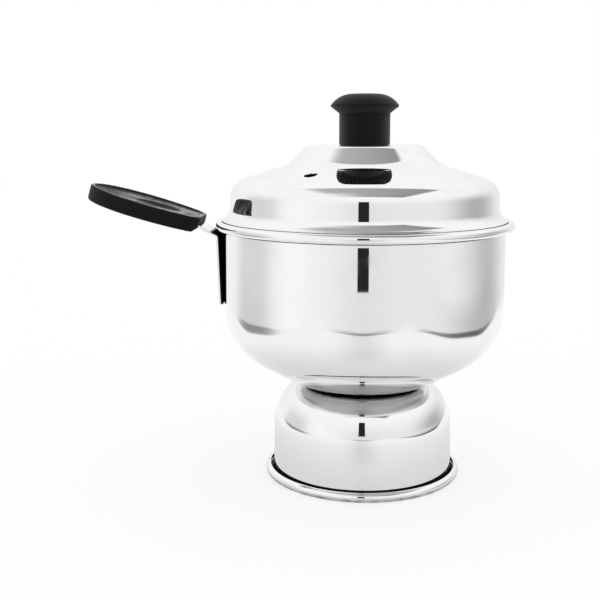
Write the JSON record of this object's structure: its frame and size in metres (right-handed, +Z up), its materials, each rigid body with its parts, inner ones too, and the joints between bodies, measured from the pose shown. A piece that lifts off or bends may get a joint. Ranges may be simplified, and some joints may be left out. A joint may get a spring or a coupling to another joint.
{
  "type": "puttu maker",
  "caption": "Small round steamer for a pressure cooker's steam vent: polished steel bowl on an inverted cup, domed lid with a black knob, oval black side handle.",
  "frame": {"origin": "on the table, at the middle of the footprint's bounding box (the bowl's axis stands 26.9 mm towards +X of it)", "axes": "+Z up along the bowl's axis; the handle points to -X; -Y is the front"},
  "size_m": [0.1726, 0.1192, 0.1543],
  "materials": {
    "polished_steel": "polished",
    "satin_steel": "satin",
    "black_bakelite": "satin",
    "brass": "satin",
    "zinc_plate": "satin"
  },
  "bodies": {
    "bowl": {"steamer_bowl": "polished_steel", "base_cup": "polished_steel", "handle_bracket": "polished_steel", "handle_grip": "black_bakelite", "handle_insert": "brass", "handle_screw": "zinc_plate"},
    "lid": {"lid_shell": "polished_steel", "lid_knob": "black_bakelite", "knob_insert": "brass", "knob_screw": "zinc_plate", "knob_washer": "zinc_plate"},
    "plate": {"steam_plate": "satin_steel"}
  },
  "joints": [
    {"name": "lid_lift", "type": "slide", "parent": "bowl", "child": "lid", "axis": [0, 0, 1], "range_m": [0, 0.06]},
    {"name": "steam_plate_lift", "type": "slide", "parent": "bowl", "child": "plate", "axis": [0, 0, 1], "range_m": [0, 0.06]}
  ]
}
